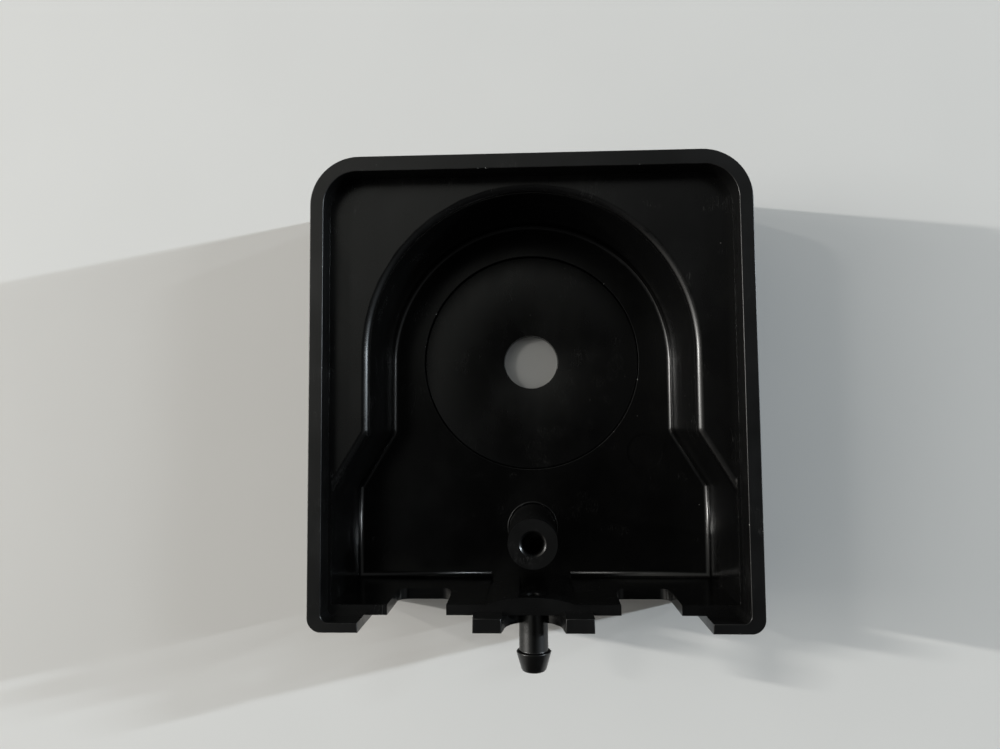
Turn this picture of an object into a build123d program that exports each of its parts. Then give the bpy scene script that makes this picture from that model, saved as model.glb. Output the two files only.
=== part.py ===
from build123d import *
import os
from math import radians, tan

# Peristaltic pump head: the open housing, without its cover, rotor and tube.
# Millimetres. The origin is on the drive shaft's axis in the plane of the rear face.
# +Z points out of the open side, and +Y from the tube ports to the closed end.

# Outer form
body_width = 70.0
body_length = 74.8
body_depth = 27.5
shaft_to_end = 31.3
end_corner_radius = 7.8
port_corner_radius = 2.2

# Rim and the ledge that the cover rests on
rim_side_wall = 2.15
rim_end_wall = 2.4
rim_port_wall = 1.55
rim_port_block = 2.25
cover_seat_depth = 4.2
seat_end_radius = 5.4
seat_port_radius = 1.2

# Raceway and the chamber below it
floor_thickness = 3.0
raceway_radius = 26.1
raceway_straight = 13.0
flare_angle = 31.5
flare_blend = 2.0
raceway_draft = 0.75
lip_radius = 1.3
floor_fillet = 1.0
side_ledge = 0.5
port_ledge = 1.75
port_wall_swell = 0.35

# Cover-screw pillar
pillar_to_port_face = 12.75
pillar_top_radius = 4.0
pillar_foot_radius = 4.35
pillar_foot_fillet = 0.4
pillar_drop = 0.3
pillar_hole_radius = 1.7
pillar_mouth_radius = 2.15
pillar_mouth_angle = 90.0
pillar_hole_depth = 16.0

# Tube ports
port_spacing = 37.1
port_width = 9.45
port_sill_height = 12.2
port_corner = 1.8
port_skin = 1.7
recess_inner = 9.35
recess_outer = 27.1

# Drain: pad inside the port wall, hose relief and barbed spigot
drain_pad_width = 14.6
drain_pad_shift = -0.4
drain_pad_rise = 1.15
drain_height = 20.0
hose_relief_radius = 4.6
hose_relief_height = 25.2
hose_relief_mouth = 9.9
spigot_stem_radius = 2.3
spigot_bore_radius = 1.2
spigot_press_gap = 0.02
spigot_setback = 0.2
spigot_reach = 7.8
barb_radius = 2.9
barb_edge = 0.2
barb_length = 3.2
spigot_tip_radius = 1.9
spigot_tip_edge = 0.4

# Shaft passage and the wear disc round it
shaft_hole_radius = 5.0
disc_radius = 20.0
disc_thickness = 1.0
disc_drop = 0.5
disc_gap = 0.12
disc_edge = 0.15

# Round ejector mark on the chamber floor
mark_radius = 3.3
mark_distance = 26.9
mark_angle = -39.0
mark_depth = 0.25

# Rear side: coring, ribs and the bosses with threaded inserts
skirt_wall = 2.3
core_roof = 2.3
raceway_wall = 2.3
end_web_half_width = 9.5
core_corner_radius = 5.4
rib_thickness = 1.5
rib_angles = (29.0, 41.0, 54.0)
insert_spacing_x = 60.8
insert_spacing_y = 19.0
insert_boss_radius = 3.7
insert_radius = 2.1
insert_waist_radius = 1.85
insert_bore_radius = 1.25
insert_length = 5.7
insert_band = 1.9
insert_hole_depth = 6.4
insert_press_gap = 0.02

# Heights and places that follow from the sizes above
seat_height = body_depth - cover_seat_depth
chamber_height = seat_height - floor_thickness
port_face_y = shaft_to_end - body_length
chamber_half_width = body_width / 2 - rim_side_wall - side_ledge
port_wall_y = port_face_y + rim_port_wall + port_ledge
pillar_y = port_face_y + pillar_to_port_face
pillar_height = chamber_height - pillar_drop
drain_pad_y = port_wall_y + drain_pad_rise
disc_floor = floor_thickness - disc_drop - disc_thickness
spigot_start_y = drain_pad_y - spigot_setback
spigot_end_y = port_face_y - spigot_reach
barb_start_y = spigot_end_y + barb_length


def tub_plan(height, side_wall, end_wall, port_wall, end_radius, port_radius):
    """Return the housing's plan at a height, brought in by the walls given."""
    plan_length = body_length - end_wall - port_wall
    with BuildSketch(Plane.XY.offset(height)) as plan:
        with Locations((0, shaft_to_end - end_wall - plan_length / 2)):
            Rectangle(body_width - 2 * side_wall, plan_length)
        fillet(plan.vertices().group_by(Axis.Y)[-1], end_radius)
        fillet(plan.vertices().group_by(Axis.Y)[0], port_radius)
    return plan.sketch


def raceway_plan(height, wall):
    """Return the raceway's U, with flared sides that run on past the body, moved out by a wall."""
    flare_run = body_width / 2
    flare_end = (
        raceway_radius + flare_run,
        -raceway_straight - flare_run / tan(radians(flare_angle)),
    )
    with BuildSketch(Plane.XY.offset(height)) as plan:
        with BuildLine():
            CenterArc((0, 0), raceway_radius, 0, 180)
            Polyline(
                (raceway_radius, 0),
                (raceway_radius, -raceway_straight),
                flare_end,
                (-flare_end[0], flare_end[1]),
                (-raceway_radius, -raceway_straight),
                (-raceway_radius, 0),
            )
        make_face()
        fillet(plan.vertices().group_by(Axis.Y)[1], flare_blend)
        if wall:
            offset(amount=wall)
    return plan.sketch


# Raceway block: the solid that the U is cut from, with the rounded lip all along it.
with BuildPart() as raceway_block:
    with Locations((0, shaft_to_end, 0)):
        Box(body_width, body_length, seat_height, align=(Align.CENTER, Align.MAX, Align.MIN))
    extrude(
        raceway_plan(floor_thickness, 0),
        amount=chamber_height,
        taper=-raceway_draft,
        mode=Mode.SUBTRACT,
    )
    lip_edges = raceway_block.edges().filter_by_position(Axis.Z, seat_height, seat_height).filter_by(
        lambda edge: abs(edge.center().X) < body_width / 2 - 1 and edge.center().Y < shaft_to_end - 1
    )
    fillet(lip_edges, lip_radius)
    extrude(
        tub_plan(0, 0, 0, 0, end_corner_radius, port_corner_radius),
        amount=seat_height,
        mode=Mode.INTERSECT,
    )

# Housing: one moulding, with the rim, the raceway, the pillar and the ports.
with BuildPart() as housing:
    extrude(tub_plan(0, 0, 0, 0, end_corner_radius, port_corner_radius), amount=body_depth)
    extrude(
        tub_plan(seat_height, rim_side_wall, rim_end_wall, rim_port_wall, seat_end_radius, seat_port_radius),
        amount=cover_seat_depth,
        mode=Mode.SUBTRACT,
    )
    with Locations((0, port_wall_y, floor_thickness)):
        Box(
            2 * chamber_half_width,
            shaft_to_end - rim_end_wall - port_wall_y,
            chamber_height,
            align=(Align.CENTER, Align.MIN, Align.MIN),
            mode=Mode.SUBTRACT,
        )
    add(raceway_block.part)

    # The port wall thickens towards the floor.
    with BuildSketch(Plane.YZ.offset(-chamber_half_width)) as swell:
        with BuildLine():
            Polyline(
                (port_wall_y, floor_thickness),
                (port_wall_y + port_wall_swell, floor_thickness),
                (port_wall_y, seat_height),
                close=True,
            )
        make_face()
    extrude(amount=2 * chamber_half_width)
    fillet(
        housing.edges().filter_by_position(Axis.Z, floor_thickness, floor_thickness),
        floor_fillet,
    )

    # Pillar with its screw hole
    with Locations((0, pillar_y, floor_thickness)):
        Cone(
            pillar_foot_radius,
            pillar_top_radius,
            pillar_height,
            align=(Align.CENTER, Align.CENTER, Align.MIN),
        )
    fillet(
        housing.edges(Select.LAST).filter_by(GeomType.CIRCLE).group_by(Axis.Z)[0],
        pillar_foot_fillet,
    )
    with Locations((0, pillar_y, floor_thickness + pillar_height)):
        CounterSinkHole(
            pillar_hole_radius, pillar_mouth_radius, pillar_hole_depth, pillar_mouth_angle
        )

    # Bowed pad inside the port wall for the drain, with the wall's foot cleared round it
    with Locations((drain_pad_shift, port_wall_y, floor_thickness)):
        Box(
            drain_pad_width,
            port_wall_swell + 2 * floor_fillet,
            chamber_height,
            align=(Align.CENTER, Align.MIN, Align.MIN),
            mode=Mode.SUBTRACT,
        )
    with BuildSketch(Plane.XY.offset(floor_thickness)):
        with BuildLine():
            bow = ThreePointArc(
                (drain_pad_shift - drain_pad_width / 2, port_wall_y),
                (drain_pad_shift, drain_pad_y),
                (drain_pad_shift + drain_pad_width / 2, port_wall_y),
            )
            Polyline(
                bow @ 1,
                (drain_pad_shift + drain_pad_width / 2, port_wall_y - port_ledge / 2),
                (drain_pad_shift - drain_pad_width / 2, port_wall_y - port_ledge / 2),
                bow @ 0,
            )
        make_face()
    extrude(amount=chamber_height)

    # Hose relief and drain bore through the port wall
    with BuildSketch(Plane.XZ.offset(-port_face_y)):
        with Locations((0, hose_relief_height)):
            Circle(hose_relief_radius)
        with BuildLine():
            Polyline(
                (-hose_relief_radius, hose_relief_height),
                (hose_relief_radius, hose_relief_height),
                (hose_relief_mouth / 2, body_depth),
                (-hose_relief_mouth / 2, body_depth),
                close=True,
            )
        make_face()
    extrude(amount=-port_skin, mode=Mode.SUBTRACT)
    with BuildSketch(Plane.XZ.offset(-port_face_y)):
        with Locations((0, drain_height)):
            Circle(spigot_stem_radius + spigot_press_gap)
    extrude(amount=-(drain_pad_y - port_face_y), mode=Mode.SUBTRACT)

    # Tube ports: a shallow recess in the outer skin and a deep slot through the wall.
    # Between the ports and the hose relief the rim is thicker.
    for side in (-1, 1):
        with Locations((side * (recess_inner + hose_relief_mouth / 2) / 2, port_face_y, seat_height)):
            Box(
                recess_inner - hose_relief_mouth / 2,
                rim_port_block,
                cover_seat_depth,
                align=(Align.CENTER, Align.MIN, Align.MIN),
            )
        with BuildSketch(Plane.XZ.offset(-port_face_y)):
            with Locations((side * (recess_inner + recess_outer) / 2, floor_thickness)):
                Rectangle(
                    recess_outer - recess_inner,
                    body_depth - floor_thickness,
                    align=(Align.CENTER, Align.MIN),
                )
        extrude(amount=-port_skin, mode=Mode.SUBTRACT)
        with BuildSketch(Plane.XZ.offset(-port_face_y)) as slot:
            with Locations((side * port_spacing / 2, port_sill_height)):
                Rectangle(
                    port_width,
                    body_depth - port_sill_height,
                    align=(Align.CENTER, Align.MIN),
                )
            fillet(slot.vertices().group_by(Axis.Z)[0], port_corner)
        extrude(
            amount=-(port_wall_y + port_wall_swell + floor_fillet - port_face_y),
            mode=Mode.SUBTRACT,
        )

    # Shaft passage with the counterbore for the wear disc, and the ejector mark
    with Locations((0, 0, floor_thickness)):
        CounterBoreHole(shaft_hole_radius, disc_radius + disc_gap, floor_thickness - disc_floor)
    with Locations((0, 0, floor_thickness)):
        with PolarLocations(mark_distance, 1, mark_angle):
            Hole(mark_radius, mark_depth)

    # Rear coring between the raceway's wall and the skirt
    with BuildSketch() as core:
        add(tub_plan(0, skirt_wall, skirt_wall, skirt_wall, core_corner_radius, port_corner_radius))
        add(raceway_plan(0, raceway_wall), mode=Mode.SUBTRACT)
        with Locations((0, shaft_to_end)):
            Rectangle(
                2 * end_web_half_width,
                shaft_to_end - raceway_radius + skirt_wall,
                align=(Align.CENTER, Align.MAX),
                mode=Mode.SUBTRACT,
            )
        for rib_angle in rib_angles:
            for turn in (rib_angle, 180 - rib_angle):
                with Locations(Location((0, 0), turn)):
                    Rectangle(
                        body_width,
                        rib_thickness,
                        align=(Align.MIN, Align.CENTER),
                        mode=Mode.SUBTRACT,
                    )
        with GridLocations(insert_spacing_x, insert_spacing_y, 2, 2):
            Circle(insert_boss_radius, mode=Mode.SUBTRACT)
    extrude(amount=seat_height - core_roof, mode=Mode.SUBTRACT)
    with BuildSketch() as insert_holes:
        with GridLocations(insert_spacing_x, insert_spacing_y, 2, 2):
            Circle(insert_radius + insert_press_gap)
    extrude(amount=insert_hole_depth, mode=Mode.SUBTRACT)
housing.part.label = "housing"

# Wear disc that lies in the counterbore under the rotor
with BuildPart() as rotor_wear_disc:
    with BuildSketch(Plane.XY.offset(disc_floor)):
        Circle(disc_radius)
        Circle(shaft_hole_radius, mode=Mode.SUBTRACT)
    extrude(amount=disc_thickness)
    chamfer(
        rotor_wear_disc.edges().filter_by(GeomType.CIRCLE).group_by(Axis.Z)[-1],
        disc_edge,
    )
rotor_wear_disc.part.label = "rotor_wear_disc"

# Barbed spigot pressed into the drain bore from outside
with BuildPart() as drain_spigot:
    with BuildSketch(Plane.XY.offset(drain_height)):
        with BuildLine():
            Polyline(
                (spigot_bore_radius, spigot_start_y),
                (spigot_stem_radius, spigot_start_y),
                (spigot_stem_radius, barb_start_y),
                (barb_radius, barb_start_y),
                (spigot_tip_radius, spigot_end_y),
                (spigot_bore_radius, spigot_end_y),
                close=True,
            )
        profile = make_face()
        fillet(profile.vertices().sort_by(Axis.X)[-1], barb_edge)
        fillet(
            profile.vertices().filter_by_position(
                Axis.X, spigot_tip_radius - 0.01, spigot_tip_radius + 0.01
            ),
            spigot_tip_edge,
        )
    revolve(axis=Axis((0, 0, drain_height), (0, 1, 0)))
drain_spigot.part.label = "drain_spigot"

# Threaded brass inserts in the rear bosses: two gripping bands with a waist between them
with BuildPart() as rear_screw_inserts:
    with GridLocations(insert_spacing_x, insert_spacing_y, 2, 2):
        Cylinder(insert_radius, insert_length, align=(Align.CENTER, Align.CENTER, Align.MIN))
    with BuildSketch(Plane.XY.offset(insert_band)):
        with GridLocations(insert_spacing_x, insert_spacing_y, 2, 2):
            Circle(insert_radius)
            Circle(insert_waist_radius, mode=Mode.SUBTRACT)
    extrude(amount=insert_length - 2 * insert_band, mode=Mode.SUBTRACT)
    with BuildSketch():
        with GridLocations(insert_spacing_x, insert_spacing_y, 2, 2):
            Circle(insert_bore_radius)
    extrude(amount=insert_length, mode=Mode.SUBTRACT)
rear_screw_inserts.part.label = "rear_screw_inserts"

os.makedirs("parts", exist_ok=True)
export_step(housing.part, "parts/housing.step")
export_step(rotor_wear_disc.part, "parts/rotor_wear_disc.step")
export_step(drain_spigot.part, "parts/drain_spigot.step")
export_step(rear_screw_inserts.part, "parts/rear_screw_inserts.step")
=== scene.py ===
"""Peristaltic pump head: the finish of the open housing and its small parts, with a plain stage."""

import math

import bmesh
import bpy
from bpy.props import FloatProperty, FloatVectorProperty, IntProperty, PointerProperty
from mathutils import Matrix, Vector


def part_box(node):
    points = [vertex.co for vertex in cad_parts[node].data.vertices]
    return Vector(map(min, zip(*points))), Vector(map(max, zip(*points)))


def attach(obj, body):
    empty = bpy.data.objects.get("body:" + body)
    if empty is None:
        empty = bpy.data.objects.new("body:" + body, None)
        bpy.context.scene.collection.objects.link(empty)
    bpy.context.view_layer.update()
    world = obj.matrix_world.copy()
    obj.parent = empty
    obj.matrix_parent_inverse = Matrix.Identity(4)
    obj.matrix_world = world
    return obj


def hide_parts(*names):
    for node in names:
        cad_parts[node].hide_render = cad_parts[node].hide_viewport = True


bl_info = {
    "name": "Pump head dresser",
    "version": (1, 0, 0),
    "blender": (4, 5, 0),
    "location": "3D View > Sidebar > Pump head",
    "description": "Finishes the packed pump head and sets it on a plain stage",
    "category": "Object",
}

MM = 0.001

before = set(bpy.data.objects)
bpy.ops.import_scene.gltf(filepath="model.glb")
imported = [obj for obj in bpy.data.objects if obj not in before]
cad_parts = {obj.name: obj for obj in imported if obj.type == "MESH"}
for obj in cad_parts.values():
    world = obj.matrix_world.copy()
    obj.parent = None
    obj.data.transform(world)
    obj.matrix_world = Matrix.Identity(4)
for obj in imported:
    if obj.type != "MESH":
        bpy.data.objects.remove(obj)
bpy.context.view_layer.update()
housing_low, housing_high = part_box("housing")
disc_low, disc_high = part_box("rotor_wear_disc")
spigot_low, spigot_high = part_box("drain_spigot")
inserts_low, inserts_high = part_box("rear_screw_inserts")

# Heights on the housing that the finishes and edge roundings go by. Inner edges are rounded
# from INNER_EDGES_FROM up, and below it only the edge of the disc's seat.
RIM_TOP = housing_high.z
COVER_SEAT = RIM_TOP - 4.2 * MM
INNER_EDGES_FROM = housing_low.z + 5 * MM

# Merging and rounding of the copied moulding: angles, and which edges are picked
WELD = 0.002 * MM
FLAT_ANGLE = math.radians(0.5)
SHARP_ANGLE = math.radians(38)
SMOOTH_ANGLE = math.radians(32)
RIM_BAND = 0.05 * MM
BELOW_RIM = 0.3 * MM
SHORTEST_EDGE = 0.3 * MM
SEAT_BAND = 0.2 * MM

# Sizes of the plastic's grain and marks
GRAIN_SIZE = 0.16 * MM
DIMPLE_SIZE = 1.6 * MM
WAVE_SIZE = 9 * MM
GLOSS_PATCH_SIZE = 14 * MM
SCRATCH_SPACING = 0.42 * MM
SCRATCH_PATCH_SIZE = 5 * MM
DUST_SPACING = 2.2 * MM
SMEAR_SIZE = 3.2 * MM
NICK_SIZE = 0.55 * MM
NICK_REGION_SIZE = 11 * MM
RUB_SIZE = 4 * MM
PLASTIC_RELIEF = 0.0016 * MM
RING_SPACING = 0.5 * MM
SCUFF_COLOUR = (0.16, 0.16, 0.155)

# Rounding of the spigot's corners and its parting line
STEM_ROOT_EDGE = 0.15 * MM
BARB_ROOT_EDGE = 0.18 * MM
BARB_EDGE = 0.16 * MM
TIP_EDGE = 0.4 * MM
MOUTH_EDGE = 0.2 * MM
SPIGOT_IN_WALL = 1.5 * MM
PARTING_HEIGHT = 0.05 * MM
PARTING_BAND = 0.02 * MM

# Inserts: chamfers, thread groove, waist, knurls and the marks of turning
INSERT_CHAMFER = 0.1 * MM
INSERT_MOUTH = 0.3 * MM
THREAD_SETBACK = 0.35 * MM
THREAD_DEPTH = 0.18 * MM
WAIST_DEPTH = 0.25 * MM
WAIST_SLOPE = 0.12 * MM
KNURL_DEPTH = 0.13 * MM
KNURL_BAND = 0.05 * MM
KNURL_LEAN = math.radians(14)
STAIN_SIZE = 1.1 * MM
STAIN_COLOUR = (0.42, 0.27, 0.10)
TURNING_SIZE = 0.08 * MM
BRASS_RELIEF = 0.004 * MM

# Stage: the table, the colours of its lights, and where the camera stands over the rim's middle
TABLE_HALF_WIDTH = 3.0
TABLE_MOTTLE_SIZE = 30 * MM
COOL_LIGHT = (0.88, 0.95, 1.0)
COOLEST_LIGHT = (0.82, 0.92, 1.0)
WARM_LIGHT = (1.0, 0.98, 0.94)
WINDOW_LIGHT = (1.0, 0.99, 0.96)
VIEWER_SHADE = (0.01, 0.01, 0.01, 1)
PERSON_SHADE = (0.03, 0.03, 0.03, 1)
CAMERA_OFFSET = Vector((0.3 * MM, -5.48 * MM, 116.44 * MM))
CAMERA_TURNS = (("Z", 0.61), ("Y", -2.5), ("X", -3.76))


# ---------------------------------------------------------------- settings


class PumpHeadHousing(bpy.types.PropertyGroup):
    """Finish of the moulded housing"""

    colour: FloatVectorProperty(
        name="Colour", description="Body colour of the black moulding", subtype="COLOR",
        size=3, min=0, max=1, default=(0.0017, 0.0017, 0.0017),
    )
    scuff_colour: FloatVectorProperty(
        name="Scuffs", description="Colour of the paler scratches and nicks", subtype="COLOR",
        size=3, min=0, max=1, default=SCUFF_COLOUR,
    )
    chamber_roughness: FloatProperty(
        name="Chamber roughness", description="Roughness of the polished chamber and raceway",
        subtype="FACTOR", min=0, max=1, default=0.21,
    )
    rim_roughness: FloatProperty(
        name="Rim roughness", description="Roughness of the finely grained rim and outer walls",
        subtype="FACTOR", min=0, max=1, default=0.33,
    )
    rim_edge: FloatProperty(
        name="Rim edge", description="Rounding of the rim's top edges",
        unit="LENGTH", min=0, max=0.5 * MM, default=0.13 * MM,
    )
    inner_edge: FloatProperty(
        name="Inner edges", description="Rounding of the ports, seats and slots",
        unit="LENGTH", min=0, max=0.3 * MM, default=0.1 * MM,
    )


class PumpHeadDisc(bpy.types.PropertyGroup):
    """Wear disc under the rotor"""

    colour: FloatVectorProperty(
        name="Colour", description="Body colour of the disc", subtype="COLOR",
        size=3, min=0, max=1, default=(0.0013, 0.0013, 0.0013),
    )
    roughness: FloatProperty(
        name="Roughness", description="Roughness of the disc's face", subtype="FACTOR",
        min=0, max=1, default=0.27,
    )
    edge: FloatProperty(
        name="Edge", description="Rounding of the disc's edges",
        unit="LENGTH", min=0, max=0.3 * MM, default=0.16 * MM,
    )
    bore_radius: FloatProperty(
        name="Bore radius", description="Radius of the hole for the shaft",
        unit="LENGTH", min=1 * MM, max=10 * MM, default=5 * MM,
    )


class PumpHeadSpigot(bpy.types.PropertyGroup):
    """Barbed drain spigot"""

    colour: FloatVectorProperty(
        name="Colour", description="Body colour of the spigot", subtype="COLOR",
        size=3, min=0, max=1, default=(0.0015, 0.0015, 0.0014),
    )
    roughness: FloatProperty(
        name="Roughness", description="Roughness of the spigot", subtype="FACTOR",
        min=0, max=1, default=0.28,
    )
    stem_radius: FloatProperty(
        name="Stem radius", description="Radius of the stem",
        unit="LENGTH", min=1 * MM, max=4 * MM, default=2.3 * MM,
    )
    bore_radius: FloatProperty(
        name="Bore radius", description="Radius of the passage",
        unit="LENGTH", min=0.5 * MM, max=2 * MM, default=1.2 * MM,
    )
    barb_length: FloatProperty(
        name="Barb length", description="Length of the tapered barb",
        unit="LENGTH", min=1 * MM, max=6 * MM, default=3.2 * MM,
    )
    tip_radius: FloatProperty(
        name="Tip radius", description="Radius of the barb's tip",
        unit="LENGTH", min=1 * MM, max=3 * MM, default=1.9 * MM,
    )
    steps: IntProperty(name="Steps", description="Faces round the spigot", min=24, max=128, default=72)


class PumpHeadInserts(bpy.types.PropertyGroup):
    """Threaded brass inserts in the rear bosses"""

    colour: FloatVectorProperty(
        name="Colour", description="Colour of the brass", subtype="COLOR",
        size=3, min=0, max=1, default=(0.72, 0.53, 0.24),
    )
    roughness: FloatProperty(
        name="Roughness", description="Roughness of the turned brass", subtype="FACTOR",
        min=0, max=1, default=0.28,
    )
    radius: FloatProperty(
        name="Radius", description="Radius over the knurls",
        unit="LENGTH", min=1 * MM, max=4 * MM, default=2.1 * MM,
    )
    bore_radius: FloatProperty(
        name="Bore radius", description="Core radius of the thread",
        unit="LENGTH", min=0.5 * MM, max=3 * MM, default=1.25 * MM,
    )
    pitch: FloatProperty(
        name="Pitch", description="Pitch of the thread",
        unit="LENGTH", min=0.2 * MM, max=1 * MM, default=0.5 * MM,
    )
    teeth: IntProperty(
        name="Teeth", description="Teeth round each knurled band", min=12, max=48, default=30,
    )


class PumpHeadStage(bpy.types.PropertyGroup):
    """Floor, lamps, room and camera"""

    floor_colour: FloatVectorProperty(
        name="Floor", description="Colour of the table", subtype="COLOR",
        size=3, min=0, max=1, default=(0.68, 0.675, 0.66),
    )
    right_power: FloatProperty(
        name="Right strip", description="Power of the long lamp on the right in watts",
        min=0, max=100, default=9.5,
    )
    right_low_power: FloatProperty(
        name="Right low lamp", description="Power of the low lamp on the right in watts",
        min=0, max=100, default=19.0,
    )
    high_power: FloatProperty(
        name="High lamps", description="Power of the small high lamps in watts",
        min=0, max=100, default=1.8,
    )
    window_power: FloatProperty(
        name="Left window", description="Power of the broad window on the left in watts",
        min=0, max=100, default=3.6,
    )
    left_low_power: FloatProperty(
        name="Left low lamp", description="Power of the low lamp on the left in watts",
        min=0, max=100, default=7.2,
    )
    side_light: FloatProperty(
        name="Room light", description="Brightness of the room all round",
        min=0, max=5, default=0.15,
    )
    left_light: FloatProperty(
        name="Left light", description="Brightness of the room low on the left",
        min=0, max=5, default=1.0,
    )
    ceiling_light: FloatProperty(
        name="Ceiling glow", description="Brightness of the room overhead on the left",
        min=0, max=5, default=0.48,
    )
    lens: FloatProperty(
        name="Lens", description="Focal length of the camera in millimetres",
        min=10, max=200, default=27.0,
    )


# ---------------------------------------------------------------- node helpers


def place(tree, kind, inputs=None, **settings):
    """Add a node, set its properties, and feed or set its inputs."""
    node = tree.nodes.new(kind)
    for name, value in settings.items():
        setattr(node, name, value)
    for name, value in (inputs or {}).items():
        if isinstance(value, bpy.types.NodeSocket):
            tree.links.new(value, node.inputs[name])
        else:
            node.inputs[name].default_value = value
    return node


def maths(tree, operation, first, second=0.0, clamp=False):
    """Return the result of one Math node."""
    node = place(tree, "ShaderNodeMath", {0: first, 1: second}, operation=operation, use_clamp=clamp)
    return node.outputs[0]


def remap(tree, value, low, high, to_low=0.0, to_high=1.0):
    """Return a value eased from one range to another and held at its ends."""
    node = place(
        tree, "ShaderNodeMapRange",
        {"Value": value, "From Min": low, "From Max": high, "To Min": to_low, "To Max": to_high},
        interpolation_type="SMOOTHSTEP",
    )
    return node.outputs["Result"]


def noise(tree, vector, size, detail=2.0, roughness=0.5):
    """Return noise whose lumps are about a size across, on a surface in metres."""
    node = place(
        tree, "ShaderNodeTexNoise",
        {"Vector": vector, "Scale": 1 / size, "Detail": detail, "Roughness": roughness},
    )
    return node.outputs["Fac"]


def blend_colour(tree, share, first, second):
    """Return the first colour turned to the second by a share from 0 to 1."""
    node = place(tree, "ShaderNodeMix", data_type="RGBA")
    for name, value in (("Factor_Float", share), ("A_Color", first), ("B_Color", second)):
        socket = next(item for item in node.inputs if item.identifier == name)
        if isinstance(value, bpy.types.NodeSocket):
            tree.links.new(value, socket)
        else:
            socket.default_value = value
    return next(item for item in node.outputs if item.identifier == "Result_Color")


def open_group(name, inputs, outputs):
    """Start a shader node group with named inputs and outputs, and return it with its end nodes."""
    group = bpy.data.node_groups.new(name, "ShaderNodeTree")
    for socket_name, kind, value in inputs:
        socket = group.interface.new_socket(name=socket_name, in_out="INPUT", socket_type=kind)
        if value is not None:
            socket.default_value = value
    for socket_name, kind in outputs:
        group.interface.new_socket(name=socket_name, in_out="OUTPUT", socket_type=kind)
    start = group.nodes.new("NodeGroupInput")
    end = group.nodes.new("NodeGroupOutput")
    return group, start.outputs, end.inputs


def place_group(tree, name, inputs):
    """Place a named node group in a material with its own values, and return its outputs."""
    node = tree.nodes.new("ShaderNodeGroup")
    node.node_tree = bpy.data.node_groups[name]
    for socket_name, value in inputs.items():
        if isinstance(value, bpy.types.NodeSocket):
            tree.links.new(value, node.inputs[socket_name])
        else:
            node.inputs[socket_name].default_value = value
    return node.outputs


# ---------------------------------------------------------------- shared effects


def build_moulded_skin():
    """Moulded plastic's skin: fine grain, slow flow waves, and a slow change of gloss."""
    group, given, made = open_group(
        "moulded_skin",
        [
            ("Vector", "NodeSocketVector", None),
            ("Grain Depth", "NodeSocketFloat", 1.0),
            ("Wave Depth", "NodeSocketFloat", 1.0),
        ],
        [("Height", "NodeSocketFloat"), ("Gloss Change", "NodeSocketFloat"), ("Tone", "NodeSocketFloat")],
    )
    vector = given["Vector"]
    grain = noise(group, vector, GRAIN_SIZE, detail=3.0, roughness=0.6)
    waves = noise(group, vector, WAVE_SIZE, detail=1.0)
    dimples = noise(group, vector, DIMPLE_SIZE, detail=2.0)
    fine = maths(group, "MULTIPLY", grain, given["Grain Depth"])
    slow = maths(group, "MULTIPLY", waves, given["Wave Depth"])
    dents = maths(group, "MULTIPLY", dimples, 0.35)
    total = maths(group, "ADD", maths(group, "ADD", fine, maths(group, "MULTIPLY", slow, 6.0)), dents)
    group.links.new(total, made["Height"])
    patches = noise(group, vector, GLOSS_PATCH_SIZE, detail=3.0, roughness=0.6)
    group.links.new(remap(group, patches, 0.3, 0.7, -0.035, 0.045), made["Gloss Change"])
    group.links.new(remap(group, patches, 0.25, 0.75, 0.86, 1.16), made["Tone"])


def build_handling_wear():
    """Marks of handling: thin scratches in two directions, dust specks and wiped smears."""
    group, given, made = open_group(
        "handling_wear",
        [
            ("Vector", "NodeSocketVector", None),
            ("Scratches", "NodeSocketFloat", 0.5),
            ("Dust", "NodeSocketFloat", 0.5),
        ],
        [("Scratch", "NodeSocketFloat"), ("Speck", "NodeSocketFloat"), ("Smear", "NodeSocketFloat")],
    )
    lines = None
    for turn, length in ((0.35, 7.0), (1.9, 5.0)):
        turned = place(
            group, "ShaderNodeMapping",
            {"Vector": given["Vector"], "Rotation": (0, 0, turn), "Scale": (1, 1 / length, 1)},
        ).outputs["Vector"]
        stripe = noise(group, turned, SCRATCH_SPACING, detail=0.0)
        crest = maths(group, "ABSOLUTE", maths(group, "SUBTRACT", stripe, 0.5))
        line = remap(group, crest, 0.0, 0.012, 1.0, 0.0)
        patch = noise(group, given["Vector"], SCRATCH_PATCH_SIZE, detail=1.0)
        where = remap(group, patch, 0.6, 0.68)
        mark = maths(group, "MULTIPLY", line, where)
        lines = mark if lines is None else maths(group, "MAXIMUM", lines, mark)
    group.links.new(maths(group, "MULTIPLY", lines, given["Scratches"]), made["Scratch"])
    cells = place(
        group, "ShaderNodeTexVoronoi",
        {"Vector": given["Vector"], "Scale": 1 / DUST_SPACING, "Randomness": 1.0},
    )
    size = place(group, "ShaderNodeSeparateColor", {"Color": cells.outputs["Color"]}).outputs["Red"]
    reach = remap(group, size, 0.72, 1.0, 0.0, 0.055)
    speck = maths(group, "LESS_THAN", cells.outputs["Distance"], reach)
    group.links.new(maths(group, "MULTIPLY", speck, given["Dust"]), made["Speck"])
    stretched = place(
        group, "ShaderNodeMapping",
        {"Vector": given["Vector"], "Rotation": (0, 0, 0.6), "Scale": (1, 0.3, 1)},
    ).outputs["Vector"]
    streaks = noise(group, stretched, SMEAR_SIZE, detail=4.0, roughness=0.65)
    smear = remap(group, streaks, 0.45, 0.75)
    group.links.new(smear, made["Smear"])


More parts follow.
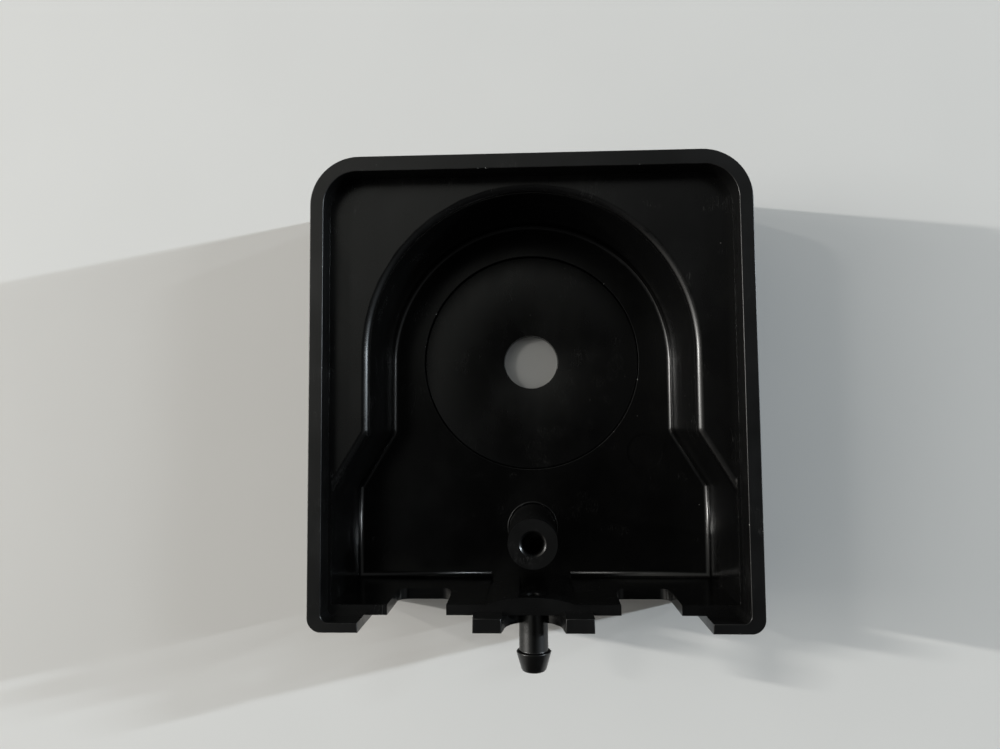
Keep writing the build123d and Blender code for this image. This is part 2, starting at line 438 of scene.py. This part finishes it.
def build_edge_nicks():
    """Small pale nicks and a faint rub along edges, from a mask of where the edges are."""
    group, given, made = open_group(
        "edge_nicks",
        [
            ("Vector", "NodeSocketVector", None),
            ("Edge", "NodeSocketFloat", 0.0),
            ("Cover", "NodeSocketFloat", 0.5),
        ],
        [("Nick", "NodeSocketFloat"), ("Rub", "NodeSocketFloat")],
    )
    small = noise(group, given["Vector"], NICK_SIZE, detail=2.0)
    region = noise(group, given["Vector"], NICK_REGION_SIZE, detail=1.0)
    uneven = maths(group, "MULTIPLY", maths(group, "SUBTRACT", region, 0.5), 0.5)
    chance = maths(group, "ADD", small, uneven)
    limit = maths(group, "SUBTRACT", 0.83, maths(group, "MULTIPLY", given["Cover"], 0.14))
    nick = maths(group, "MULTIPLY", maths(group, "GREATER_THAN", chance, limit), given["Edge"])
    group.links.new(nick, made["Nick"])
    rub = remap(group, noise(group, given["Vector"], RUB_SIZE, detail=3.0), 0.35, 0.7)
    group.links.new(maths(group, "MULTIPLY", rub, given["Edge"]), made["Rub"])


def shared_effects():
    """Build each shared node group once."""
    for name, build in (
        ("moulded_skin", build_moulded_skin),
        ("handling_wear", build_handling_wear),
        ("edge_nicks", build_edge_nicks),
    ):
        if name not in bpy.data.node_groups:
            build()


def new_material(name):
    """Return a fresh node material, its Principled shader, its tree and its object coordinates."""
    shared_effects()
    material = bpy.data.materials.new(name)
    material.use_nodes = True
    tree = material.node_tree
    shader = tree.nodes["Principled BSDF"]
    spot = place(tree, "ShaderNodeTexCoord").outputs["Object"]
    return material, shader, tree, spot


def black_plastic(material_name, colour, scuff_colour, roughness, grain, scratches, dust, nicks):
    """Make a black moulded plastic; roughness is a number, or a function that makes a socket."""
    material, shader, tree, spot = new_material(material_name)
    skin = place_group(tree, "moulded_skin", {"Vector": spot, "Grain Depth": grain, "Wave Depth": 1.0})
    wear = place_group(tree, "handling_wear", {"Vector": spot, "Scratches": scratches, "Dust": dust})
    edge_mask = place(tree, "ShaderNodeAttribute", attribute_name="edge_wear").outputs["Fac"]
    edge = place_group(tree, "edge_nicks", {"Vector": spot, "Edge": edge_mask, "Cover": nicks})

    # Colour: slow tone change, paler scratches and nicks, dust specks
    body = place(
        tree, "ShaderNodeVectorMath", {0: (*colour,), "Scale": skin["Tone"]}, operation="SCALE",
    ).outputs["Vector"]
    scuff = (*scuff_colour, 1)
    fresh_nick = (*[2.2 * value for value in scuff_colour], 1)
    scuffed = blend_colour(tree, maths(tree, "MULTIPLY", wear["Scratch"], 0.30), body, scuff)
    rubbed = blend_colour(tree, maths(tree, "MULTIPLY", edge["Rub"], 0.05), scuffed, scuff)
    nicked = blend_colour(tree, edge["Nick"], rubbed, fresh_nick)
    dusty = blend_colour(tree, maths(tree, "MULTIPLY", wear["Speck"], 0.5), nicked, scuff)
    tree.links.new(dusty, shader.inputs["Base Color"])

    # Roughness: base, gloss patches, smears and marks
    base = roughness(tree, spot) if callable(roughness) else roughness
    rough = maths(tree, "ADD", skin["Gloss Change"], base)
    rough = maths(tree, "ADD", rough, maths(tree, "MULTIPLY", wear["Smear"], 0.03))
    rough = maths(tree, "ADD", rough, maths(tree, "MULTIPLY", wear["Scratch"], 0.15))
    rough = maths(tree, "ADD", rough, maths(tree, "MULTIPLY", wear["Speck"], 0.4), clamp=True)
    tree.links.new(rough, shader.inputs["Roughness"])

    # Relief: grain and waves, with scratches and nicks cut in
    scratch_depth = maths(tree, "MULTIPLY", wear["Scratch"], 1.2)
    marks = maths(tree, "ADD", scratch_depth, maths(tree, "MULTIPLY", edge["Nick"], 4.0))
    height = maths(tree, "SUBTRACT", skin["Height"], marks)
    bump = place(tree, "ShaderNodeBump", {"Height": height, "Strength": 1.0, "Distance": PLASTIC_RELIEF})
    tree.links.new(bump.outputs["Normal"], shader.inputs["Normal"])
    shader.inputs["IOR"].default_value = 1.5
    return material


# ---------------------------------------------------------------- mesh helpers


def finish_mesh(form, name, material, turn_outward=True):
    """Make an object from a finished form, smooth it, dress it and let it ride on the housing."""
    if turn_outward:
        bmesh.ops.recalc_face_normals(form, faces=form.faces)
    mesh = bpy.data.meshes.new(name)
    form.to_mesh(mesh)
    form.free()
    mesh.shade_smooth()
    mesh.set_sharp_from_angle(angle=SMOOTH_ANGLE)
    mesh.materials.append(material)
    piece = bpy.data.objects.new(name, mesh)
    bpy.context.scene.collection.objects.link(piece)
    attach(piece, "root")
    return piece


def merged_copy(node_name):
    """Return a CAD node's form with its loose triangles merged and its flat faces whole."""
    form = bmesh.new()
    form.from_mesh(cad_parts[node_name].data)
    bmesh.ops.remove_doubles(form, verts=form.verts, dist=WELD)
    bmesh.ops.dissolve_limit(form, angle_limit=FLAT_ANGLE, verts=form.verts, edges=form.edges)
    return form


def round_edges(form, mask, radius, segments, wanted):
    """Round the sharp edges that a test picks out, and mark their new faces as edges."""
    sharp = [
        edge for edge in form.edges
        if edge.is_manifold and edge.calc_face_angle() > SHARP_ANGLE and wanted(edge)
    ]
    if not sharp:
        raise RuntimeError("No sharp edges were found to round")
    rounded = bmesh.ops.bevel(
        form, geom=sharp, offset=radius, offset_type="OFFSET", affect="EDGES",
        segments=segments, profile=0.5, clamp_overlap=True, material=-1,
    )
    for face in rounded["faces"]:
        face[mask] = 1.0


def spun_form(profile, axis, centre, steps):
    """Spin a closed outline of points once round an axis and merge its seam."""
    form = bmesh.new()
    corners = [form.verts.new(point) for point in profile]
    edges = [form.edges.new(pair) for pair in zip(corners, corners[1:] + corners[:1])]
    bmesh.ops.spin(
        form, geom=corners + edges, cent=centre, axis=axis, angle=2 * math.pi, steps=steps, use_merge=True,
    )
    bmesh.ops.remove_doubles(form, verts=form.verts, dist=WELD)
    return form


def rounded_outline(points, radii, steps=4):
    """Return an outline with each corner rounded by its own radius, as (across, along) pairs."""
    outline = []
    count = len(points)
    for index, (corner, radius) in enumerate(zip(points, radii)):
        here = Vector(corner)
        before = (Vector(points[index - 1]) - here).normalized()
        after = (Vector(points[(index + 1) % count]) - here).normalized()
        if radius <= 0:
            outline.append(here)
            continue
        half = math.acos(max(-1.0, min(1.0, before.dot(after)))) / 2
        centre = here + (before + after).normalized() * (radius / math.sin(half))
        reach = radius / math.tan(half)
        first = here + before * reach - centre
        last = here + after * reach - centre
        turn = first.angle_signed(last)
        for step in range(steps + 1):
            arm = first.copy()
            arm.rotate(Matrix.Rotation(-turn * step / steps, 2))
            outline.append(centre + arm)
    return outline


# ---------------------------------------------------------------- operators


class PUMPHEAD_OT_housing(bpy.types.Operator):
    """Round the moulding's edges and give it its polished and grained finishes"""

    bl_idname = "pumphead.housing"
    bl_label = "Housing"

    def execute(self, context):
        settings = context.scene.pump_head_housing
        form = merged_copy("housing")
        mask = form.faces.layers.float.new("edge_wear")
        round_edges(
            form, mask, settings.rim_edge, 3,
            lambda edge: all(vert.co.z > RIM_TOP - RIM_BAND for vert in edge.verts),
        )
        round_edges(
            form, mask, settings.inner_edge, 2,
            lambda edge: all(INNER_EDGES_FROM < vert.co.z < RIM_TOP - BELOW_RIM for vert in edge.verts)
            and edge.calc_length() > SHORTEST_EDGE,
        )
        seat_radius = (disc_high.x - disc_low.x) / 2
        round_edges(
            form, mask, settings.inner_edge, 2,
            lambda edge: all(
                abs(math.hypot(vert.co.x, vert.co.y) - seat_radius) < SEAT_BAND
                and vert.co.z > disc_high.z
                for vert in edge.verts
            ),
        )

        def zoned_roughness(tree, spot):
            """Grained rim and outside, polished inside, with the cover seat between them."""
            height = place(tree, "ShaderNodeSeparateXYZ", {"Vector": spot}).outputs["Z"]
            upper = remap(tree, height, COVER_SEAT - 1.2 * MM, COVER_SEAT - 0.1 * MM)
            rim = remap(tree, height, COVER_SEAT + 0.2 * MM, RIM_TOP - 0.3 * MM)
            spread = settings.rim_roughness - settings.chamber_roughness
            seat = maths(tree, "MULTIPLY", upper, 0.55 * spread)
            base = maths(tree, "ADD", seat, settings.chamber_roughness)
            return maths(tree, "ADD", base, maths(tree, "MULTIPLY", rim, 0.45 * spread))

        material = black_plastic(
            "housing_black", settings.colour, settings.scuff_colour, zoned_roughness,
            grain=1.0, scratches=0.4, dust=0.7, nicks=0.55,
        )
        piece = finish_mesh(form, "housing_moulding", material, turn_outward=False)
        weighted = piece.modifiers.new("even_shading", "WEIGHTED_NORMAL")
        weighted.keep_sharp = True
        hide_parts("housing")
        return {"FINISHED"}


class PUMPHEAD_OT_wear_disc(bpy.types.Operator):
    """Turn the wear disc with its rounded edges and faint rings"""

    bl_idname = "pumphead.wear_disc"
    bl_label = "Wear disc"

    def execute(self, context):
        settings = context.scene.pump_head_disc
        outer = (disc_high.x - disc_low.x) / 2
        centre = (disc_low + disc_high) / 2
        inner = settings.bore_radius
        edge = settings.edge
        outline = rounded_outline(
            [(inner, disc_low.z), (outer, disc_low.z), (outer, disc_high.z), (inner, disc_high.z)],
            [0, 0, edge, edge],
        )
        profile = [(centre.x + across, centre.y, height) for across, height in outline]
        form = spun_form(profile, (0, 0, 1), (centre.x, centre.y, 0), 180)
        material = black_plastic(
            "wear_disc_black", settings.colour, SCUFF_COLOUR, settings.roughness,
            grain=1.4, scratches=0.5, dust=0.6, nicks=0.0,
        )
        # Faint rings left by turning and by the rotor
        tree = material.node_tree
        spot = next(node for node in tree.nodes if node.type == "TEX_COORD").outputs["Object"]
        split = place(tree, "ShaderNodeSeparateXYZ", {"Vector": spot}).outputs
        flat = place(tree, "ShaderNodeCombineXYZ", {"X": split["X"], "Y": split["Y"], "Z": 0.0}).outputs[0]
        reach = place(tree, "ShaderNodeVectorMath", {0: flat}, operation="LENGTH").outputs["Value"]
        rings = place(
            tree, "ShaderNodeTexNoise",
            {"W": maths(tree, "MULTIPLY", reach, 1 / RING_SPACING), "Detail": 3.0, "Scale": 1.0},
            noise_dimensions="1D",
        ).outputs["Fac"]
        bump = next(node for node in tree.nodes if node.type == "BUMP")
        height = bump.inputs["Height"].links[0].from_socket
        tree.links.new(
            maths(tree, "ADD", height, maths(tree, "MULTIPLY", rings, 0.5)), bump.inputs["Height"],
        )
        piece = finish_mesh(form, "wear_disc", material)
        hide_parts("rotor_wear_disc")
        return {"FINISHED"}


class PUMPHEAD_OT_drain_spigot(bpy.types.Operator):
    """Turn the barbed spigot and add the mould's parting line along its sides"""

    bl_idname = "pumphead.drain_spigot"
    bl_label = "Drain spigot"

    def execute(self, context):
        settings = context.scene.pump_head_spigot
        centre = (spigot_low + spigot_high) / 2
        barb = (spigot_high.z - spigot_low.z) / 2
        tip, stem, bore = settings.tip_radius, settings.stem_radius, settings.bore_radius
        tip_y, root_y = spigot_low.y, spigot_high.y
        barb_y = tip_y + settings.barb_length
        outline = rounded_outline(
            [(bore, root_y), (stem, root_y), (stem, barb_y), (barb, barb_y), (tip, tip_y), (bore, tip_y)],
            [0, STEM_ROOT_EDGE, BARB_ROOT_EDGE, BARB_EDGE, TIP_EDGE, MOUTH_EDGE],
        )
        profile = [(centre.x + across, along, centre.z) for across, along in outline]
        form = spun_form(profile, (0, 1, 0), (centre.x, 0, centre.z), settings.steps)
        # Parting line: the points in the mould's split plane stand a little proud outside the wall
        wall_y = housing_low.y + SPIGOT_IN_WALL
        for vert in form.verts:
            across = vert.co.x - centre.x
            away = math.hypot(across, vert.co.z - centre.z)
            in_plane = abs(vert.co.z - centre.z) < PARTING_BAND
            if in_plane and vert.co.y < wall_y and away > bore * 1.3:
                proud = min(PARTING_HEIGHT, barb - away)
                vert.co.x += math.copysign(max(proud, 0.0), across)
        material = black_plastic(
            "spigot_black", settings.colour, SCUFF_COLOUR, settings.roughness,
            grain=0.8, scratches=0.5, dust=0.6, nicks=0.0,
        )
        piece = finish_mesh(form, "barbed_spigot", material)
        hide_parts("drain_spigot")
        return {"FINISHED"}


class PUMPHEAD_OT_inserts(bpy.types.Operator):
    """Make the four threaded brass inserts with their knurled bands"""

    bl_idname = "pumphead.inserts"
    bl_label = "Rear inserts"

    def execute(self, context):
        settings = context.scene.pump_head_inserts
        radius, bore, pitch = settings.radius, settings.bore_radius, settings.pitch
        low, high = inserts_low.z, inserts_high.z
        band = (high - low) / 3
        waist = radius - WAIST_DEPTH
        face, mouth = radius - INSERT_CHAMFER, bore + INSERT_MOUTH
        inside = []
        height = high - THREAD_SETBACK
        while height - pitch > low + THREAD_SETBACK:
            inside += [(bore, height), (bore + THREAD_DEPTH, height - pitch / 2)]
            height -= pitch
        outline = (
            [(mouth, low), (face, low), (radius, low + INSERT_CHAMFER)]
            + [(radius, low + band * part) for part in (0.25, 0.5, 0.75, 1)]
            + [(waist, low + band + WAIST_SLOPE), (waist, high - band - WAIST_SLOPE)]
            + [(radius, high - band * part) for part in (1, 0.75, 0.5, 0.25)]
            + [(radius, high - INSERT_CHAMFER), (face, high), (mouth, high)]
            + inside
            + [(bore, height)]
        )
        teeth = settings.teeth
        profile = [(across, 0, up) for across, up in outline]
        insert = spun_form(profile, (0, 0, 1), (0, 0, 0), 2 * teeth)
        # Knurls: every other line of each band is cut in, and the band leans with its height
        for vert in insert.verts:
            away = math.hypot(vert.co.x, vert.co.y)
            if away < radius - KNURL_BAND:
                continue
            turn = math.atan2(vert.co.y, vert.co.x)
            line = round(turn / (math.pi / teeth))
            lower = vert.co.z < (low + high) / 2
            along = (vert.co.z - low) / band if lower else (high - vert.co.z) / band
            away -= KNURL_DEPTH if line % 2 else 0.0
            turn += KNURL_LEAN * along
            vert.co.x, vert.co.y = away * math.cos(turn), away * math.sin(turn)
        mesh = bpy.data.meshes.new("one_insert")
        insert.to_mesh(mesh)
        insert.free()
        form = bmesh.new()
        for side_x in (inserts_low.x + radius, inserts_high.x - radius):
            for side_y in (inserts_low.y + radius, inserts_high.y - radius):
                before = set(form.verts)
                form.from_mesh(mesh)
                added = [vert for vert in form.verts if vert not in before]
                bmesh.ops.translate(form, verts=added, vec=(side_x, side_y, 0))
        bpy.data.meshes.remove(mesh)

        material, shader, tree, spot = new_material("insert_brass")
        wear = place_group(tree, "handling_wear", {"Vector": spot, "Scratches": 0.6, "Dust": 0.2})
        stain = remap(tree, noise(tree, spot, STAIN_SIZE, detail=4.0), 0.45, 0.75)
        brass = blend_colour(tree, stain, (*settings.colour, 1), (*STAIN_COLOUR, 1))
        tree.links.new(brass, shader.inputs["Base Color"])
        rough = maths(tree, "ADD", maths(tree, "MULTIPLY", stain, 0.18), settings.roughness)
        rough = maths(tree, "ADD", rough, maths(tree, "MULTIPLY", wear["Scratch"], 0.2))
        tree.links.new(rough, shader.inputs["Roughness"])
        shader.inputs["Metallic"].default_value = 1.0
        squeezed = place(
            tree, "ShaderNodeMapping", {"Vector": spot, "Scale": (0.1, 0.1, 1)},
        ).outputs["Vector"]
        turning = noise(tree, squeezed, TURNING_SIZE, detail=2.0)
        bump = place(
            tree, "ShaderNodeBump", {"Height": turning, "Strength": 1.0, "Distance": BRASS_RELIEF},
        )
        tree.links.new(bump.outputs["Normal"], shader.inputs["Normal"])
        piece = finish_mesh(form, "rear_inserts", material)
        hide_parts("rear_screw_inserts")
        return {"FINISHED"}


class PUMPHEAD_OT_stage(bpy.types.Operator):
    """Set the floor, the lamps, the room and the camera"""

    bl_idname = "pumphead.stage"
    bl_label = "Stage"

    def execute(self, context):
        settings = context.scene.pump_head_stage
        scene = context.scene
        scene.view_settings.view_transform = "Standard"
        self.lay_floor(scene, settings)
        self.light_room(scene, settings)
        self.hang_lamps(scene, settings)
        self.set_camera(scene, settings)
        return {"FINISHED"}

    def lay_floor(self, scene, settings):
        """A wide pale table with a faint mottle."""
        form = bmesh.new()
        bmesh.ops.create_grid(form, x_segments=1, y_segments=1, size=TABLE_HALF_WIDTH)
        bmesh.ops.translate(form, verts=form.verts, vec=(0, 0, housing_low.z))
        mesh = bpy.data.meshes.new("table")
        form.to_mesh(mesh)
        form.free()
        floor = bpy.data.objects.new("table", mesh)
        scene.collection.objects.link(floor)
        material, shader, tree, spot = new_material("table_white")
        mottle = remap(tree, noise(tree, spot, TABLE_MOTTLE_SIZE, detail=3.0), 0.3, 0.7)
        darker = (*[0.985 * value for value in settings.floor_colour], 1)
        shade = blend_colour(tree, mottle, darker, (*settings.floor_colour, 1))
        tree.links.new(shade, shader.inputs["Base Color"])
        shader.inputs["Roughness"].default_value = 0.75
        shader.inputs["Specular IOR Level"].default_value = 0.2
        floor.data.materials.append(material)

    def light_room(self, scene, settings):
        """A dim room, lit overhead and low on the left, and dark where the viewer stands."""
        world = bpy.data.worlds.new("room")
        world.use_nodes = True
        scene.world = world
        tree = world.node_tree
        look = place(tree, "ShaderNodeTexCoord").outputs["Generated"]

        def towards(direction):
            """How far the look direction agrees with one direction, as a cosine."""
            unit = Vector(direction).normalized()
            return place(
                tree, "ShaderNodeVectorMath", {0: look, 1: tuple(unit)}, operation="DOT_PRODUCT",
            ).outputs["Value"]

        rise = remap(tree, towards((0, 0, 1)), 0.35, 0.75, 0.2, 1.0)
        glow = remap(tree, towards((-0.3, 0.34, 0.9)), 0.86, 0.99)
        room = blend_colour(
            tree, glow,
            (*[settings.side_light * value for value in (0.97, 1.0, 1.0)], 1),
            (*[settings.ceiling_light * value for value in (0.98, 1.0, 0.93)], 1),
        )
        room = place(
            tree, "ShaderNodeVectorMath", {0: room, "Scale": rise}, operation="SCALE",
        ).outputs["Vector"]
        left = remap(tree, towards((-1, 0.1, -0.1)), 0.3, 0.85)
        room = blend_colour(
            tree, left, room, (*[settings.left_light * value for value in (1.0, 0.965, 0.89)], 1),
        )
        person = remap(tree, towards((0.1, -1, 0.2)), 0.3, 0.8)
        room = blend_colour(tree, person, room, PERSON_SHADE)
        viewer = remap(tree, towards((0.08, -0.05, 1)), 0.91, 0.985)
        room = blend_colour(tree, viewer, room, VIEWER_SHADE)
        tree.links.new(room, tree.nodes["Background"].inputs["Color"])
        tree.nodes["Background"].inputs["Strength"].default_value = 1.0

    def hang_lamps(self, scene, settings):
        """Thin lamps that run away from the object on both sides, and a broad window on the left.

        Each lamp has its bearing in degrees, the distance and height of its near and far ends,
        and its width, in metres, and its power in watts.
        """
        high_left_power = 0.7 * settings.high_power
        for name, bearing, near, far, width, power, colour in (
            ("strip_right", 12, (1.27, 1.0), (2.2, 1.0), 0.022, settings.right_power, COOL_LIGHT),
            ("high_right", 21, (1.36, 1.0), (1.56, 1.0), 0.022, settings.high_power, COOL_LIGHT),
            ("high_left", 160, (0.84, 1.0), (0.97, 1.0), 0.022, high_left_power, WARM_LIGHT),
            ("low_right", 11.4, (1.62, 0.5), (1.75, 0.5), 0.018, settings.right_low_power, COOLEST_LIGHT),
            ("low_left", 172, (1.0, 0.5), (1.105, 0.5), 0.018, settings.left_low_power, WARM_LIGHT),
            ("window_left", 176, (0.85, 0.9), (1.15, 0.18), 0.34, settings.window_power, WINDOW_LIGHT),
        ):
            away = Vector((math.cos(math.radians(bearing)), math.sin(math.radians(bearing)), 0))
            start = away * near[0] + Vector((0, 0, near[1]))
            end = away * far[0] + Vector((0, 0, far[1]))
            centre = (start + end) / 2
            run = end - start
            lamp = bpy.data.lights.new(name, "AREA")
            lamp.shape = "RECTANGLE"
            lamp.size = run.length
            lamp.size_y = width
            lamp.energy = power
            lamp.color = colour
            lamp_object = bpy.data.objects.new(name, lamp)
            scene.collection.objects.link(lamp_object)
            facing = centre.normalized()
            along = (run - run.dot(facing) * facing).normalized()
            turn = Matrix((along, facing.cross(along), facing)).transposed()
            lamp_object.matrix_world = Matrix.Translation(centre) @ turn.to_4x4()

    def set_camera(self, scene, settings):
        """Look down on the open side from close above."""
        camera = bpy.data.cameras.new("camera")
        camera.sensor_width = 36.0
        camera.lens = settings.lens
        camera.clip_start = 0.005
        camera_object = bpy.data.objects.new("camera", camera)
        scene.collection.objects.link(camera_object)
        centre = (housing_low + housing_high) / 2
        spot = Vector((centre.x, centre.y, housing_high.z)) + CAMERA_OFFSET
        tilt = Matrix.Identity(3)
        for axis, degrees in CAMERA_TURNS:
            tilt = tilt @ Matrix.Rotation(math.radians(degrees), 3, axis)
        camera_object.matrix_world = Matrix.Translation(spot) @ tilt.transposed().to_4x4()
        scene.camera = camera_object


class PUMPHEAD_PT_panel(bpy.types.Panel):
    """Panel with the steps that dress the pump head"""

    bl_label = "Pump head"
    bl_idname = "PUMPHEAD_PT_panel"
    bl_space_type = "VIEW_3D"
    bl_region_type = "UI"
    bl_category = "Pump head"

    def draw(self, context):
        column = self.layout.column()
        for operator in OPERATORS:
            column.operator(operator.bl_idname)


OPERATORS = (
    PUMPHEAD_OT_housing,
    PUMPHEAD_OT_wear_disc,
    PUMPHEAD_OT_drain_spigot,
    PUMPHEAD_OT_inserts,
    PUMPHEAD_OT_stage,
)
SETTINGS = {
    "pump_head_housing": PumpHeadHousing,
    "pump_head_disc": PumpHeadDisc,
    "pump_head_spigot": PumpHeadSpigot,
    "pump_head_inserts": PumpHeadInserts,
    "pump_head_stage": PumpHeadStage,
}
CLASSES = (*SETTINGS.values(), *OPERATORS, PUMPHEAD_PT_panel)


def register():
    """Register the classes and put their settings on the scene."""
    for cls in CLASSES:
        bpy.utils.register_class(cls)
    for name, cls in SETTINGS.items():
        setattr(bpy.types.Scene, name, PointerProperty(type=cls))


def unregister():
    """Take the settings off the scene and unregister the classes."""
    for name in SETTINGS:
        delattr(bpy.types.Scene, name)
    for cls in reversed(CLASSES):
        bpy.utils.unregister_class(cls)


def main():
    """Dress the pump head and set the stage."""
    register()
    for operator in OPERATORS:
        group, name = operator.bl_idname.split(".")
        getattr(getattr(bpy.ops, group), name)()


if __name__ == "__main__":
    main()
